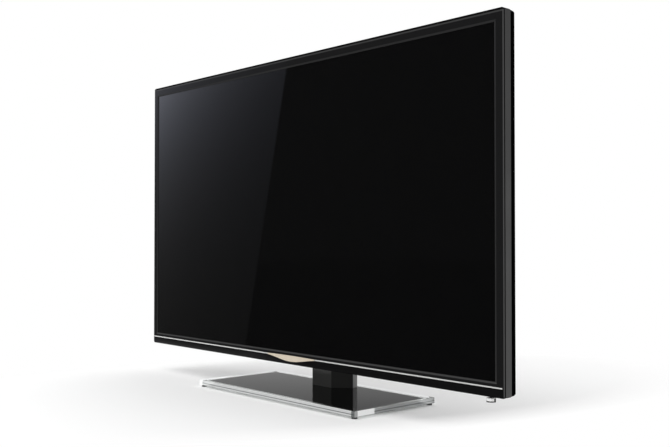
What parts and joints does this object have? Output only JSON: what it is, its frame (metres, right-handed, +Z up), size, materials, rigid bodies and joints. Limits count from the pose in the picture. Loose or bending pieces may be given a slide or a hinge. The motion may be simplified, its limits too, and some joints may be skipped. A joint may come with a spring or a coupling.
{
  "type": "television",
  "caption": "Flat screen television with slim gloss bezel, satin side band, bright lower trim, faceted neck, thick clear glass base and a small joystick under the right corner.",
  "frame": {"origin": "centre of the glass base's outline, on the surface that the rubber feet stand on", "axes": "+Z up; the screen faces -Y; +X is to the right of a person who faces the screen"},
  "size_m": [0.9676, 0.196, 0.6291],
  "materials": {
    "gloss_black": "polished moulded black, piano gloss",
    "satin_grey": "satin dark grey, fine moulded grain",
    "bright_trim": "bright silver strip",
    "champagne": "pale gold satin metal",
    "screen": "dark glass, glossy",
    "foam": "black closed-cell foam",
    "frame_plastic": "black moulded plastic",
    "optic_film": "frosted white film",
    "reflector": "white micro-foamed sheet",
    "board_white": "white solder mask",
    "lens": "clear moulded lens",
    "zinc_steel": "zinc plated sheet steel",
    "board_green": "green solder mask",
    "flex": "amber polyimide film",
    "ribbon": "white flat cable",
    "heatsink": "anodised aluminium",
    "lead": "black flexible insulation",
    "insulation": "black insulating sheet",
    "socket_metal": "nickel plated shells",
    "socket_plastic": "black moulded insulator",
    "speaker_box": "black moulded enclosure",
    "grommet": "soft black rubber",
    "cover_black": "fine textured black",
    "screw": "black zinc screws",
    "knob": "bright plated cap",
    "stick_plastic": "moulded acetal",
    "base_glass": "clear thick tempered glass, polished edges",
    "base_print": "black screen print under the glass",
    "neck_steel": "black coated steel",
    "foot": "black rubber"
  },
  "bodies": {
    "television": {"front_bezel": "gloss_black", "trim_strip_left": "bright_trim", "trim_strip_right": "bright_trim", "accent_crescent": "champagne", "side_band": "satin_grey", "lcd_cell": "screen", "cell_gasket": "foam", "middle_frame": "frame_plastic", "prism_film": "optic_film", "diffuser_film": "optic_film", "diffuser_plate": "optic_film", "reflector_tray": "reflector", "led_bars": "board_white", "led_lenses": "lens", "backlight_chassis": "zinc_steel", "source_boards": "board_green", "cell_flex_tabs": "flex", "timing_board": "board_green", "source_ribbons": "ribbon", "main_board": "board_green", "processor_heatsink": "heatsink", "power_board": "board_green", "power_insulator": "insulation", "board_screws": "screw", "lvds_ribbon": "ribbon", "power_harness": "lead", "rear_cover": "cover_black", "cover_screws": "screw", "wall_standoffs": "zinc_steel", "port_plate": "zinc_steel", "hdmi_sockets": "socket_metal", "usb_sockets": "socket_metal", "lan_socket": "socket_plastic", "headphone_socket": "socket_plastic", "aerial_socket": "socket_metal", "mains_inlet": "socket_plastic", "speaker_left": "speaker_box", "speaker_right": "speaker_box", "speaker_grommets": "grommet", "speaker_leads": "lead", "infrared_board": "board_green", "joystick_board": "board_green", "joystick_housing": "stick_plastic", "stand_bracket": "zinc_steel", "neck_bracket": "neck_steel", "neck_front_cover": "gloss_black", "neck_back_cover": "satin_grey", "neck_bolts": "screw", "foot_gasket": "grommet", "glass_base": "base_glass", "base_print": "base_print", "clamp_plate": "neck_steel", "base_screws": "screw", "rubber_feet": "foot"},
    "press_carrier": {"joystick_plunger": "stick_plastic"},
    "tilt_cradle": {"joystick_cradle": "stick_plastic"},
    "stick": {"joystick_stem": "stick_plastic", "joystick_cap": "knob"}
  },
  "joints": [
    {"name": "joystick_press", "type": "slide", "parent": "television", "child": "press_carrier", "axis": [0, 0, 1], "range_m": [0, 0.0008], "stiffness_N_per_m": 900, "springref_m": -0.0004},
    {"name": "joystick_tilt_fore_aft", "type": "hinge", "parent": "press_carrier", "child": "tilt_cradle", "pos_m": [0.4516, -0.0361, 0.0687], "axis": [1, 0, 0], "range_deg": [-7, 7], "stiffness_Nm_per_rad": 0.03},
    {"name": "joystick_tilt_left_right", "type": "hinge", "parent": "tilt_cradle", "child": "stick", "pos_m": [0.4516, -0.0361, 0.0687], "axis": [0, 1, 0], "range_deg": [-7, 7], "stiffness_Nm_per_rad": 0.03}
  ]
}
